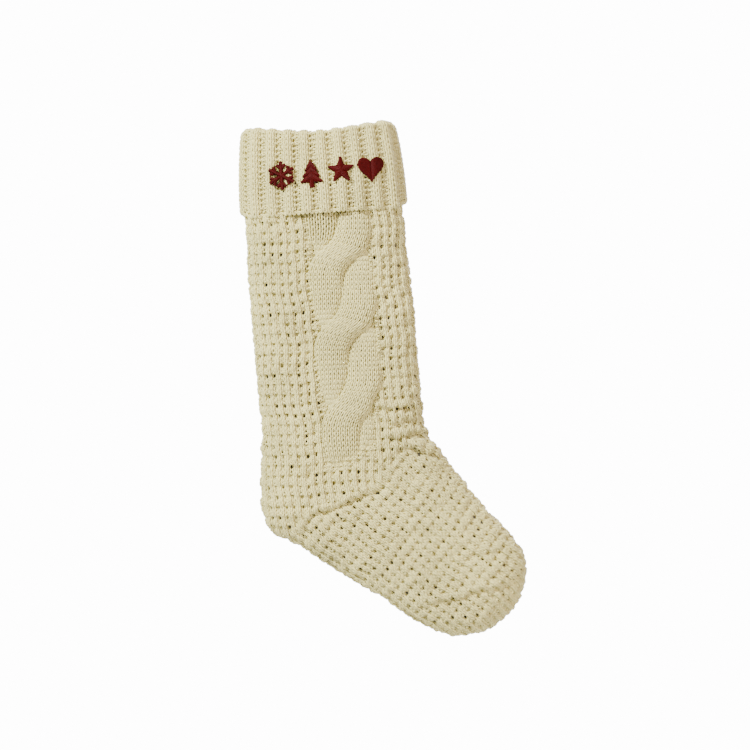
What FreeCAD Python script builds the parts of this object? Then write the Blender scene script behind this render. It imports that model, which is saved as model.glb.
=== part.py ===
import FreeCAD, Part

import math
import os

V = FreeCAD.Vector

# Hanging stocking, millimetres, hung upright: +Z up the leg, the front faces -Y and the toe points to +X.
# The origin is the root of the hanging loop, the point on which the loop turns, just inside the mouth
# at the heel side.

# ---------------------------------------------------------------- driving dimensions
wall = 4.0                    # thickness of the knitted fabric
layer_gap = 1.0               # room between the turned-down cuff and the fabric under it
edge_power = 2.5              # superellipse power of every cross-section; 2 is an ellipse

root_inset = 48.0             # loop root to the centre line of the mouth
root_depth = 8.0              # loop root below the top of the cuff

cuff_height = 76.0            # top of the fold to the bound edge
cuff_top_width = 141.0
cuff_bottom_width = 151.0
cuff_top_depth = 48.0         # front to back
cuff_bottom_depth = 51.0
bound_edge_height = 5.0
bound_edge_proud = 1.2
leg_tuck = 14.0               # how far the leg reaches up under the cuff

ankle_drop = 278.0            # top of the fold to the ankle
ankle_width = 144.5
ankle_shift = 4.2             # the ankle's centre line stands this far towards the toe
ankle_depth = 42.0

heel_drop = 76.0              # ankle to the corner of the heel
heel_bulge = 5.5              # heel behind the ankle
heel_radius = 30.0
heel_depth = 46.0

sole_angle = 35.0             # degrees below level
sole_length = 170.0           # heel corner to the ball of the foot
instep_angle = 55.0
instep_length = 128.0         # ankle to the start of the toe
ball_depth = 44.0
toe_length = 43.5             # from the ball of the foot to the tip

cable_top_left = -21.0        # cable panel's edges, from the leg's centre line
cable_top_right = 41.0
cable_bottom_left = -17.0
cable_bottom_right = 31.0
cable_end_drop = 305.0        # top of the fold to the end of the cable panel
cable_height = 3.0            # strands standing proud of the panel
cable_first_cross = 122.0     # top of the fold to the first crossing
cable_pitch = 66.0            # crossing to crossing
cable_crossings = 3
cable_inset = 5.0             # strands inside the panel's edges

mitre_middle_drop = 50.0      # middle of the mitre line below the ankle
mitre_middle_shift = 20.0     # and how far it stands towards the toe
heel_top_drop = 16.0          # heel pocket's upper line below the ankle, at the back

seam_width = 3.0              # seam allowance inside, across its two edges
seam_height = 3.0
toe_seam_width = 4.0
toe_seam_proud = 1.0

motif_pitch = 26.5
motif_size = 25.0
motif_drop = 44.0             # top of the fold to the motifs' centres
motif_shift = 5.0             # row of motifs towards the toe side
motif_proud = 1.2
backing_thickness = 0.5
backing_width = 116.0
backing_height = 40.0

tape_width = 8.0              # tape of the hanging loop, front to back
tape_thickness = 2.4
loop_length = 56.0
loop_width = 15.0
loop_neck_length = 14.0
turning_clearance = 0.4       # between the turning loop and the tape it hangs from
tail_length = 20.0
thread_diameter = 1.4
thread_bite = 0.6             # how far a bar of thread reaches past what it holds
loop_tack_drop = 5.0          # loop root to the first bar of the loop's tack
loop_tack_pitch = 5.5
cuff_tack_rises = (16.0, 30.0)      # bars of the cuff's tack above the bound edge

# ---------------------------------------------------------------- places that follow from them
centre_x = root_inset
top_z = root_depth
fold_rise = (2.0 * wall + layer_gap) / 2.0
fold_base_z = top_z - fold_rise
cuff_bottom_z = top_z - cuff_height
bound_top_z = cuff_bottom_z + bound_edge_height
leg_top_z = cuff_bottom_z + leg_tuck
ankle_z = top_z - ankle_drop
ankle_x = centre_x + ankle_shift
ankle_back_x = ankle_x - ankle_width / 2.0
ankle_front = V(ankle_x + ankle_width / 2.0, 0, ankle_z)
sole_direction = V(math.cos(math.radians(sole_angle)), 0, -math.sin(math.radians(sole_angle)))
instep_direction = V(math.cos(math.radians(instep_angle)), 0, -math.sin(math.radians(instep_angle)))
heel_corner = V(ankle_back_x - heel_bulge, 0, ankle_z - heel_drop)
heel_tangent = heel_radius * math.tan(math.radians(90.0 - sole_angle) / 2.0)
ball_low = heel_corner + sole_direction * sole_length
ball_high = ankle_front + instep_direction * instep_length
far = 1000.0                  # past everything, for cutting tools
cut_margin = 10.0             # how far a cutting outline passes the end of what it cuts
crease_overrun = 30.0         # how far a strand's creases run on past the cable's edges


# ---------------------------------------------------------------- shapes
def closed_section(centre, across, half_width, half_depth):
    """A superellipse in the plane of across and Y, as a closed wire of four quarters."""
    quarters = []
    steps = 8
    for quarter in range(4):
        points = []
        for i in range(steps + 1):
            angle = math.pi / 2.0 * (quarter + i / steps)
            c = math.cos(angle)
            s = math.sin(angle)
            u = math.copysign(abs(c) ** (2.0 / edge_power), c) * half_width
            v = math.copysign(abs(s) ** (2.0 / edge_power), s) * half_depth
            points.append(centre + across * u + V(0, 1, 0) * v)
        curve = Part.BSplineCurve()
        curve.interpolate(points)
        quarters.append(curve.toShape())
    return Part.Wire(quarters)


def prism(points, y_low=-far, y_high=far):
    """The solid between two Y planes over a polygon of (x, z) points."""
    corners = [V(x, y_low, z) for x, z in points]
    face = Part.Face(Part.makePolygon(corners + corners[:1]))
    return face.extrude(V(0, y_high - y_low, 0))


def slab(half_thickness):
    return Part.makeBox(2 * far, 2 * half_thickness, 2 * far, V(-far, -half_thickness, -far))


def mix(a, b, t):
    return a + (b - a) * t


# ---------------------------------------------------------------- the sock body: leg, heel, foot and toe
def cuff_half_sizes(z):
    """Half width and half depth of the cuff's outer face at a height."""
    t = (fold_base_z - z) / (fold_base_z - cuff_bottom_z)
    half_width = mix(cuff_top_width, cuff_bottom_width, t) / 2.0
    half_depth = mix(cuff_top_depth, cuff_bottom_depth, t) / 2.0
    return half_width, half_depth


def body_stations():
    """(back point, front point, half depth) of each cross-section, from the leg's top to the ball of the foot."""
    half_width, half_depth = cuff_half_sizes(leg_top_z)
    top_half_width = half_width - wall - layer_gap
    top_half_depth = half_depth - wall - layer_gap
    stations = []
    for t in (0.0, 0.3, 0.6, 0.85, 1.0):
        z = mix(leg_top_z, ankle_z, t)
        x = mix(centre_x, ankle_x, t)
        w = mix(top_half_width, ankle_width / 2.0, min(1.0, 1.4 * t))
        d = mix(top_half_depth, ankle_depth / 2.0, t)
        stations.append((V(x - w, 0, z), V(x + w, 0, z), d))
    heel_start = heel_corner + V(0, 0, heel_tangent)
    heel_end = heel_corner + sole_direction * heel_tangent
    turn = math.radians(90.0 - sole_angle) / 2.0
    to_centre = V(math.cos(turn), 0, math.sin(turn))
    heel_middle = heel_corner + to_centre * (heel_radius / math.cos(turn) - heel_radius)
    behind_ankle = V(ankle_back_x - 0.75 * heel_bulge, 0, mix(ankle_z, heel_start.z, 0.45))
    ball_start = heel_tangent / sole_length
    backs = [
        (behind_ankle, 0.10),
        (heel_start, 0.21),
        (heel_middle, 0.32),
        (heel_end, 0.43),
    ]
    for t in (0.33, 0.66, 1.0):
        along = mix(ball_start, 1.0, t)
        backs.append((heel_corner + sole_direction * (sole_length * along), mix(0.43, 1.0, t)))
    for i, (back, t) in enumerate(backs):
        front = ankle_front + instep_direction * (instep_length * t)
        rise = min(1.0, (i + 1) / 4.0)
        depth = mix(ankle_depth, heel_depth, rise) if i < 4 else mix(heel_depth, ball_depth, (i - 3) / 3.0)
        stations.append((back, front, depth / 2.0))
    return stations


def body_loft(inset, with_toe=True):
    """The sock body's outer form, moved inwards by inset; a negative inset moves it outwards."""
    wires = []
    for i, (back, front, half_depth) in enumerate(body_stations()):
        across = (front - back)
        half_width = across.Length / 2.0
        across.normalize()
        centre = (back + front) * 0.5
        if i == 0 and inset != 0.0:
            lift = V(0, 0, 2.0)
            wires.append(closed_section(centre + lift, across, half_width - inset, half_depth - inset))
        wires.append(closed_section(centre, across, half_width - inset, half_depth - inset))
    chord = ball_high - ball_low
    half_chord = chord.Length / 2.0
    chord.normalize()
    ahead = V(chord.z, 0, -chord.x)
    centre = (ball_low + ball_high) * 0.5
    toe_turns = (24.0, 46.0, 64.0, 78.0) if with_toe else ()
    for degrees in toe_turns:
        reach = math.sin(math.radians(degrees))
        narrow = math.cos(math.radians(degrees))
        place = centre + ahead * ((toe_length - inset) * reach)
        half_depth = (ball_depth / 2.0 - inset) * narrow ** 0.8
        wires.append(closed_section(place, chord, (half_chord - inset) * narrow, half_depth))
    return Part.makeLoft(wires, True, True)


# ---------------------------------------------------------------- lines that part the fabric
sole_start = heel_corner + sole_direction * heel_tangent
mitre_back = (sole_start.x, sole_start.z)
mitre_middle = (ankle_x + mitre_middle_shift, ankle_z - mitre_middle_drop)
mitre_front = (ankle_front.x, ankle_front.z)
heel_top_back = (ankle_back_x, ankle_z - heel_top_drop)


def beyond(a, b, length=200.0):
    """A point past b on the line from a."""
    dx = b[0] - a[0]
    dz = b[1] - a[1]
    size = math.hypot(dx, dz)
    return (b[0] + dx / size * length, b[1] + dz / size * length)


def leg_region(top=far):
    """Everything above the heel pocket's upper line and the mitre line, up to a height."""
    left = beyond(mitre_middle, heel_top_back)
    right = beyond(mitre_middle, mitre_front)
    return [left, mitre_middle, right, (right[0], top), (left[0], top)]


def heel_region():
    """The wedge between the heel pocket's upper line and the mitre line."""
    low = beyond(mitre_middle, mitre_back)
    left = beyond(mitre_middle, heel_top_back)
    return [mitre_middle, left, low]


def toe_line():
    """The two ends of the toe cap's edge, well outside the foot."""
    direction = ball_high - ball_low
    direction.normalize()
    return ball_low - direction * far, ball_high + direction * far


def toe_region(back_off=0.0):
    """Everything on the toe's side of the toe line, moved back by back_off."""
    low, high = toe_line()
    direction = high - low
    direction.normalize()
    ahead = V(direction.z, 0, -direction.x)
    corners = [low - ahead * back_off, high - ahead * back_off, high + ahead * far, low + ahead * far]
    return [(p.x, p.z) for p in corners]


def foot_region():
    """Everything below the mitre line."""
    right = beyond(mitre_middle, mitre_front)
    low = beyond(mitre_middle, mitre_back)
    return [mitre_middle, right, (far, right[1]), (far, -far), (low[0], -far), low]


def cable_edge(side, z):
    """X of the cable panel's left or right edge at a height."""
    t = (cuff_bottom_z - z) / (cuff_bottom_z - (top_z - cable_end_drop))
    if side == "left":
        return centre_x + mix(cable_top_left, cable_bottom_left, t)
    return centre_x + mix(cable_top_right, cable_bottom_right, t)


def cable_region():
    low = top_z - cable_end_drop
    high = leg_top_z + cut_margin
    return [
        (cable_edge("left", high), high),
        (cable_edge("right", high), high),
        (cable_edge("right", low), low),
        (cable_edge("left", low), low),
    ]


def left_of_cable_region():
    """The heel side of the front, with the strip that runs on under the cable panel."""
    low = top_z - cable_end_drop
    high = leg_top_z + cut_margin
    left = cable_edge("left", high)
    right = cable_edge("right", low)
    return [(-far, high), (left, high), (cable_edge("left", low), low), (right, low), (right, -far), (-far, -far)]


def right_of_cable_region():
    low = top_z - cable_end_drop
    high = leg_top_z + cut_margin
    right = cable_edge("right", low)
    return [(cable_edge("right", high), high), (right, low), (right, -far), (far, -far), (far, high)]


# ---------------------------------------------------------------- pieces of the sock body
outer = body_loft(0.0)
inner = body_loft(wall)
front_half = Part.makeBox(2 * far, far, 2 * far, V(-far, -far, -far))
back_half = Part.makeBox(2 * far, far, 2 * far, V(-far, 0, -far))
body_shell = outer.cut(inner)
front_shell = body_shell.common(front_half)
back_shell = body_shell.common(back_half)


def leg_front(region):
    return front_shell.common(prism(leg_region())).common(prism(region))


def foot_part(shell):
    return shell.common(prism(foot_region())).cut(prism(toe_region()))


def seam_inside(region):
    """The doubled edge of two joined panels, standing inwards from the fabric."""
    ridge = inner.common(slab(seam_width / 2.0)).common(prism(region))
    return ridge.cut(body_loft(wall + seam_height, False))


def toe_seam():
    """The raised line of stitches that closes the toe cap onto the foot."""
    band = body_loft(-toe_seam_proud).cut(outer)
    strip = prism(toe_region(toe_seam_width / 2.0)).cut(prism(toe_region(-toe_seam_width / 2.0)))
    return band.common(strip)


def cable_leaf(index):
    """One visible length of a cable strand, between two slanting creases."""
    def crease(k):
        high = top_z - cable_first_cross - cable_pitch * (k - 1)
        low = high - cable_pitch
        right = cable_edge("right", high) - cable_inset
        left = cable_edge("left", low) + cable_inset
        span = right - left
        return [
            V(right + crease_overrun, 0, high),
            V(right, 0, high),
            V(right - 0.45 * span, 0, high - 0.12 * cable_pitch),
            V(left + 0.45 * span, 0, low + 0.45 * cable_pitch),
            V(left, 0, low),
            V(left - crease_overrun, 0, low - 0.2 * cable_pitch),
        ]

    upper_points = crease(index)
    lower_points = crease(index + 1)
    upper = Part.BSplineCurve()
    upper.interpolate(upper_points)
    lower = Part.BSplineCurve()
    lower.interpolate(lower_points)
    edges = [
        upper.toShape(),
        Part.makeLine(upper_points[-1], lower_points[-1]),
        lower.toShape(),
        Part.makeLine(lower_points[0], upper_points[0]),
    ]
    wire = Part.Wire(Part.__sortEdges__(edges))
    face = Part.Face(wire)
    leaf = face.extrude(V(0, -far, 0))
    high = leg_top_z + cut_margin
    low = top_z - cable_end_drop
    window = prism([
        (cable_edge("left", high) + cable_inset, high),
        (cable_edge("right", high) - cable_inset, high),
        (cable_edge("right", low) - cable_inset, low),
        (cable_edge("left", low) + cable_inset, low),
    ])
    below_cuff = Part.makeBox(2 * far, 2 * far, far, V(-far, -far, cuff_bottom_z - 1.0 - far))
    return strand_skin.common(leaf).common(window).common(below_cuff)


strand_skin = body_loft(-cable_height).cut(outer)


# ---------------------------------------------------------------- cuff
def cuff_loft(z_low, z_high, inset):
    wires = []
    for z in (z_low, z_high):
        half_width, half_depth = cuff_half_sizes(z)
        section = closed_section(V(centre_x, 0, z), V(1, 0, 0), half_width - inset, half_depth - inset)
        wires.append(section)
    return Part.makeLoft(wires, True, True)


def cuff_layer(z_low, z_high, outer_inset, inner_inset):
    return cuff_loft(z_low, z_high, outer_inset).cut(cuff_loft(z_low, z_high, inner_inset))


def cuff_fold():
    """The rounded top edge, where the ribbing turns over."""
    lofts = []
    half_width, half_depth = cuff_half_sizes(fold_base_z)
    for near, towards in ((0.0, 1.0), (2.0 * fold_rise, -1.0)):
        wires = []
        for degrees in (0.0, 25.0, 50.0, 75.0):
            z = fold_base_z + fold_rise * math.sin(math.radians(degrees))
            move = fold_rise * (1.0 - math.cos(math.radians(degrees)))
            inset = near + towards * move
            section = closed_section(V(centre_x, 0, z), V(1, 0, 0), half_width - inset, half_depth - inset)
            wires.append(section)
        lofts.append(Part.makeLoft(wires, True, False))
    return lofts[0].cut(lofts[1])


def skin_over_cuff(thickness):
    """A skin on the cuff's outer face."""
    return cuff_loft(bound_top_z, fold_base_z, -thickness).cut(cuff_loft(bound_top_z, fold_base_z, 0.0))


def skin_under_cuff(thickness):
    """A skin on the inside of the cuff's outer layer."""
    return cuff_layer(bound_top_z, fold_base_z, wall, wall + thickness)


# ---------------------------------------------------------------- embroidered motifs
def star_points(count, outer_radius, inner_radius):
    points = []
    for i in range(2 * count):
        radius = outer_radius if i % 2 == 0 else inner_radius
        angle = math.pi / 2.0 + math.pi * i / count
        points.append((radius * math.cos(angle), radius * math.sin(angle)))
    return points


def flat_motif(polygons):
    """The fused prisms of a motif's (x, z) polygons, on the cuff's front."""
    solids = [prism(points, -far, 0.0) for points in polygons]
    shape = solids[0]
    for solid in solids[1:]:
        shape = shape.fuse(solid)
    return shape


def star_motif():
    return flat_motif([star_points(5, 0.5 * motif_size, 0.21 * motif_size)])


def tree_motif():
    half = 0.5 * motif_size
    tiers = []
    for low, high, width in ((-0.62, 0.1, 0.84), (-0.22, 0.55, 0.64), (0.2, 1.0, 0.44)):
        tiers.append([(-width * half, low * half), (width * half, low * half), (0.0, high * half)])
    trunk = [(-0.14 * half, -half), (0.14 * half, -half), (0.14 * half, -0.5 * half), (-0.14 * half, -0.5 * half)]
    return flat_motif(tiers + [trunk])


def bar(cx, cz, length, width, degrees):
    """The corners of a bar that starts at a point and runs at an angle."""
    a = math.radians(degrees)
    ux = math.cos(a)
    uz = math.sin(a)
    corners = []
    for along, aside in ((0.0, -0.5), (length, -0.5), (length, 0.5), (0.0, 0.5)):
        corners.append((cx + ux * along - uz * aside * width, cz + uz * along + ux * aside * width))
    return corners


def snowflake_motif():
    half = 0.5 * motif_size
    bars = []
    for i in range(3):
        angle = 30.0 + 60.0 * i
        a = math.radians(angle)
        bars.append(bar(-half * math.cos(a), -half * math.sin(a), 2.0 * half, 0.16 * half, angle))
    for i in range(6):
        angle = 30.0 + 60.0 * i
        a = math.radians(angle)
        for turn in (-48.0, 48.0):
            bars.append(bar(0.52 * half * math.cos(a), 0.52 * half * math.sin(a), 0.4 * half, 0.14 * half, angle + turn))
    return flat_motif(bars)


def heart_motif():
    half = 0.5 * motif_size
    points = []
    count = 32
    for i in range(count):
        t = 2.0 * math.pi * i / count
        x = 16.0 * math.sin(t) ** 3
        z = 13.0 * math.cos(t) - 5.0 * math.cos(2.0 * t) - 2.0 * math.cos(3.0 * t) - math.cos(4.0 * t)
        points.append((x * half / 17.5, (z + 2.5) * half / 16.0))
    return flat_motif([points])


def motif_place(index):
    return V(centre_x + motif_shift + (index - 1.5) * motif_pitch, 0, top_z - motif_drop)


def embroidered(motif, index):
    shape = motif.copy()
    shape.translate(motif_place(index))
    return shape.common(skin_over_cuff(motif_proud))


def embroidery_backing():
    middle = motif_place(1.5)
    half_width = backing_width / 2.0
    half_height = backing_height / 2.0
    frame = prism([
        (middle.x - half_width, middle.z - half_height),
        (middle.x + half_width, middle.z - half_height),
        (middle.x + half_width, middle.z + half_height),
        (middle.x - half_width, middle.z + half_height),
    ], -far, 0.0)
    return skin_under_cuff(backing_thickness).common(frame)


# ---------------------------------------------------------------- hanging loop
def loop_outline(outset):
    """The loop's outline round its root, hanging down, moved outwards by outset."""
    half = loop_width / 2.0 - tape_thickness + outset
    neck = outset
    straight_end = -(loop_length - loop_width / 2.0)
    shoulder = -loop_neck_length - tape_thickness
    arc_low = V(0, 0, straight_end - half)
    start = V(-neck, 0, -tape_thickness) if outset > 0 else V(0, 0, -2.0 * tape_thickness)
    end = V(neck, 0, -tape_thickness) if outset > 0 else V(0, 0, -2.0 * tape_thickness)
    edges = [
        Part.makeLine(start, V(-half, 0, shoulder)),
        Part.makeLine(V(-half, 0, shoulder), V(-half, 0, straight_end)),
        Part.Arc(V(-half, 0, straight_end), arc_low, V(half, 0, straight_end)).toShape(),
        Part.makeLine(V(half, 0, straight_end), V(half, 0, shoulder)),
        Part.makeLine(V(half, 0, shoulder), end),
    ]
    if outset > 0:
        edges.append(Part.makeLine(end, start))
    return Part.Face(Part.Wire(edges))


def hanging_loop():
    tape = loop_outline(tape_thickness).extrude(V(0, tape_width, 0))
    eye = loop_outline(0.0).extrude(V(0, tape_width, 0))
    tape = tape.cut(eye)
    tape.translate(V(0, -tape_width / 2.0, 0))
    root = Part.makeCylinder(tape_thickness, tape_width, V(0, -tape_width / 2.0, 0), V(0, 1, 0))
    link = Part.makeBox(2.0 * tape_thickness, tape_width, tape_thickness,
                        V(-tape_thickness, -tape_width / 2.0, -tape_thickness))
    return tape.fuse(root).fuse(link).removeSplitter()


def mouth_inside_x(z, half_y):
    """X of the inside of the mouth at the heel side, where a tape of that half width still fits."""
    half_width, half_depth = cuff_half_sizes(z)
    a = half_width - 2.0 * wall - layer_gap
    b = half_depth - 2.0 * wall - layer_gap
    return centre_x - a * (1.0 - (half_y / b) ** edge_power) ** (1.0 / edge_power)


tail_back_x = mouth_inside_x(-tape_thickness, tape_width / 2.0 + 0.2) + 0.3


def loop_tail():
    """The loop's sewn end: down the inside of the corner, and out to the root."""
    upright = Part.makeBox(tape_thickness, tape_width, tail_length,
                           V(tail_back_x, -tape_width / 2.0, tape_thickness / 2.0 - tail_length))
    reach = -tape_thickness - turning_clearance - tail_back_x
    shelf = Part.makeBox(reach, tape_width, tape_thickness,
                         V(tail_back_x, -tape_width / 2.0, -tape_thickness / 2.0))
    return upright.fuse(shelf).removeSplitter()


def loop_tack_stitches():
    """Three bars of thread through the tail into the ribbing behind it."""
    bars = []
    for i in range(3):
        z = -loop_tack_drop - loop_tack_pitch * i
        start = V(mouth_inside_x(z, 0.0) - 0.5 * wall, 0, z)
        reach = tail_back_x + tape_thickness + thread_bite - start.x
        bars.append(Part.makeCylinder(thread_diameter / 2.0, reach, start, V(1, 0, 0)))
    return Part.makeCompound(bars)


def cuff_tack_stitches():
    """A bar of thread at each side that holds the turned-down cuff to the fabric under it."""
    bars = []
    for side in (-1.0, 1.0):
        for rise in cuff_tack_rises:
            z = bound_top_z + rise
            half_width, half_depth = cuff_half_sizes(z)
            start = V(centre_x + side * (half_width - 0.6 * wall), 0, z)
            reach = 0.4 * wall + layer_gap + 0.6 * wall
            bars.append(Part.makeCylinder(thread_diameter / 2.0, reach, start, V(-side, 0, 0)))
    return Part.makeCompound(bars)


# ---------------------------------------------------------------- nodes
leg_inside = prism(leg_region())
behind_middle = [(-far, far), (ankle_x, far), (ankle_x, -far), (-far, -far)]
before_middle = [(far, far), (ankle_x, far), (ankle_x, -far), (far, -far)]
leg_seams = seam_inside(leg_region(leg_top_z))

nodes = {
    "cuff_bound_edge": cuff_loft(cuff_bottom_z, bound_top_z, -bound_edge_proud).cut(
        cuff_loft(cuff_bottom_z, bound_top_z, wall)),
    "cuff_ribbed_band": cuff_layer(bound_top_z, fold_base_z, 0.0, wall),
    "cuff_fold": cuff_fold(),
    "cuff_inner_ribbing": cuff_layer(leg_top_z, fold_base_z, wall + layer_gap, 2.0 * wall + layer_gap),
    "leg_front_heel_side": leg_front(left_of_cable_region()),
    "leg_front_cable_panel": leg_front(cable_region()),
    "leg_front_toe_side": leg_front(right_of_cable_region()),
    "leg_back": back_shell.common(leg_inside),
    "cable_strand_a": Part.makeCompound([cable_leaf(0), cable_leaf(2)]),
    "cable_strand_b": Part.makeCompound([cable_leaf(1), cable_leaf(3)]),
    "heel_pocket": body_shell.common(prism(heel_region())),
    "foot_front": foot_part(front_shell),
    "foot_back": foot_part(back_shell),
    "toe_cap": body_shell.common(prism(toe_region())),
    "toe_seam": toe_seam(),
    "leg_heel_side_seam": leg_seams.common(prism(behind_middle)),
    "leg_toe_side_seam": leg_seams.common(prism(before_middle)),
    "hanging_loop": hanging_loop(),
    "loop_tail": loop_tail(),
    "loop_tack_stitches": loop_tack_stitches(),
    "cuff_tack_stitches": cuff_tack_stitches(),
    "embroidery_backing": embroidery_backing(),
    "embroidered_snowflake": embroidered(snowflake_motif(), 0),
    "embroidered_tree": embroidered(tree_motif(), 1),
    "embroidered_star": embroidered(star_motif(), 2),
    "embroidered_heart": embroidered(heart_motif(), 3),
}

os.makedirs("parts", exist_ok=True)
for name, shape in nodes.items():
    solids = shape.Solids
    box = shape.BoundBox
    print("%-24s solids %d valid %s volume %.0f  x %.1f %.1f  y %.1f %.1f  z %.1f %.1f" % (
        name, len(solids), shape.isValid(), shape.Volume,
        box.XMin, box.XMax, box.YMin, box.YMax, box.ZMin, box.ZMax))
    if len(solids) == 1:
        shape = solids[0]
    shape.exportStep("parts/%s.step" % name)
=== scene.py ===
import math

import bpy
import numpy as np
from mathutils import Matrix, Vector


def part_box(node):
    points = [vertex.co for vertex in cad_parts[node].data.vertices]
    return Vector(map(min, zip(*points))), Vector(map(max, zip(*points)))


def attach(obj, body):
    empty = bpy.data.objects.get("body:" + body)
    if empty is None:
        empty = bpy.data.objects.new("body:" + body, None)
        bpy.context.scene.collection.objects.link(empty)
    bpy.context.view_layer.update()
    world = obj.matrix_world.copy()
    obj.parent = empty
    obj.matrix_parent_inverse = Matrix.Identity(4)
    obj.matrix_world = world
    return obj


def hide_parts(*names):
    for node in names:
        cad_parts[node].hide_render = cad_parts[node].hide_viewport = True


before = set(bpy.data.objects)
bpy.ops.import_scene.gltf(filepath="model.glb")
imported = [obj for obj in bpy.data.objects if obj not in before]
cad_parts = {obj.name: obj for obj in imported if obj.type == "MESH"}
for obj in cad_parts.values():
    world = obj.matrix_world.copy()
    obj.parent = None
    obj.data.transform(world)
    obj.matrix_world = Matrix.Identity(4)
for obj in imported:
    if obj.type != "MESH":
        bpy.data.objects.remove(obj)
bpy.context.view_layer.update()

MM = 0.001                    # every size below is in millimetres, and meshes are made in metres
BODY = "stocking"
rng = np.random.default_rng(7)


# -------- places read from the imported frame
def box_mm(node):
    """The low and high corners of a part's box."""
    low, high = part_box(node)
    return np.array(low) / MM, np.array(high) / MM


band_low, band_high = box_mm("cuff_ribbed_band")
cuff_x = 0.5 * (band_low[0] + band_high[0])      # centre line of the mouth
top_z = band_high[2] + 1.5                       # the middle of the top edge, which dips between the corners
cuff_bottom_z = box_mm("cuff_bound_edge")[0][2]

# -------- sizes of the knitting
stitch_width = 3.75
foot_stitch_width = 3.6
cuff_stitch_width = 4.0
row_height = 4.5              # on the leg, the foot and the cuff
yarn_radius = 0.98
loop_sides = 6                # corners round a yarn
loop_steps = 12               # points along one stitch
loop_rise = 0.93              # half the height of a loop, in rows
loop_bulge = 0.185            # how far a loop is wider at its head than at its neck, in stitches
loop_depth = 0.95             # how far a yarn passes in front of and behind the fabric
loop_wobble = 0.2             # how far a loop strays to the side
loop_proud = 0.22             # how much the loops differ in depth

body_half_depth = 20.5
heel_half_depth = 22.0
under_cuff_narrowing = 2.6
leg_top_drop = 50.0           # the leg's knitting starts this far below the top, under the cuff
edge_rounding = 50.0          # the fabric starts to turn towards the back this far inside the silhouette
edge_power = 2.4

# Silhouette of the leg, heel, foot and toe, from the cuff down the heel side and back up the front,
# as (x from the mouth's centre line, z from the top of the cuff).
silhouette = [
    (-69.0, -50.0), (-69.2, -95.0), (-70.6, -150.0), (-69.6, -215.0), (-67.8, -262.0), (-70.5, -300.0),
    (-72.0, -330.0), (-69.5, -348.0), (-60.5, -359.5), (-46.5, -366.0), (-35.5, -374.5), (-15.5, -390.0),
    (19.0, -413.0), (51.0, -438.5), (76.0, -454.0), (100.0, -459.0), (125.0, -453.5), (146.0, -436.0),
    (157.0, -409.0), (154.5, -389.0), (145.0, -374.0), (125.5, -350.0), (105.5, -322.0), (90.0, -298.0),
    (79.5, -282.0), (74.8, -268.0), (74.8, -250.0), (74.5, -215.0), (73.2, -175.0), (71.3, -130.0),
    (69.5, -90.0), (69.0, -50.0),
]


# -------- lines and curves
def catmull_rom(points, steps):
    """A smooth open curve through points."""
    p = np.array(points, float)
    p = np.vstack([2 * p[0] - p[1], p, 2 * p[-1] - p[-2]])
    t = np.linspace(0, 1, steps, endpoint=False)[:, None]
    out = []
    for a, b, c, d in zip(p, p[1:], p[2:], p[3:]):
        square = (2 * a - 5 * b + 4 * c - d) * t ** 2
        cube = (3 * b - a - 3 * c + d) * t ** 3
        out.append(0.5 * (2 * b + (c - a) * t + square + cube))
    out.append(p[-2][None, :])
    return np.vstack(out)


def lengths(points):
    """How far each point of a line is from its start, along it."""
    return np.concatenate([[0], np.cumsum(np.linalg.norm(np.diff(points, axis=0), axis=1))])


def unit(vectors):
    """The vectors' directions, each of length 1."""
    return vectors / (np.linalg.norm(vectors, axis=-1, keepdims=True) + 1e-12)


def along_line(line, first, last, step):
    """X and z at even steps along a line of the front view."""
    s = np.arange(first, last, step)
    d = lengths(line)
    return np.interp(s, d, line[:, 0]), np.interp(s, d, line[:, 1])


def crowded(count):
    """Places from 0 to 1 that lie closer together towards both ends."""
    return 0.5 - 0.5 * np.cos(np.linspace(0, np.pi, count))


def smooth(low, high, value):
    """From 0 at low to 1 at high, with a gentle start and end."""
    t = np.clip((np.asarray(value, float) - low) / (high - low), 0.0, 1.0)
    return t * t * (3 - 2 * t)


def down(first, last, z):
    """From 0 to 1 as z goes from one distance below the cuff's top to another."""
    return smooth(top_z - first, top_z - last, z)


def placed(points):
    """Points given from the mouth's centre line and the cuff's top, in the frame."""
    return np.array(points) + np.array([cuff_x, top_z])


outline = placed(catmull_rom(silhouette, 10))


def edge_distance(x, z):
    """Distance from points to the silhouette, positive inside."""
    x = np.asarray(x, float)
    shape = x.shape
    q = np.stack([x.ravel(), np.asarray(z, float).ravel()], 1)
    a = outline
    b = np.roll(outline, -1, axis=0)
    ab = b - a
    length2 = (ab ** 2).sum(1)
    best = np.full(len(q), np.inf)
    inside = np.zeros(len(q), bool)
    for k in range(len(a)):
        if k < len(a) - 1:                         # the open top of the leg isn't an edge
            ap = q - a[k]
            t = np.clip((ap @ ab[k]) / length2[k], 0, 1)
            best = np.minimum(best, ((ap - t[:, None] * ab[k]) ** 2).sum(1))
        crosses = (a[k, 1] > q[:, 1]) != (b[k, 1] > q[:, 1])
        if crosses.any():
            inside ^= crosses & (q[:, 0] < a[k, 0] + (q[:, 1] - a[k, 1]) * ab[k, 0] / ab[k, 1])
    d = np.sqrt(best)
    return np.where(inside, d, -d).reshape(shape)


def body_depth(x, z):
    """Half the thickness of the stocking at a point of its front view."""
    d = np.clip(edge_distance(x, z) / edge_rounding, 0.0, 1.0)
    half = body_half_depth + (heel_half_depth - body_half_depth) * down(250, 330, z)
    half = half - under_cuff_narrowing * down(78, 66, z)
    return half * (1 - (1 - d) ** edge_power) ** (1 / edge_power)


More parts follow.
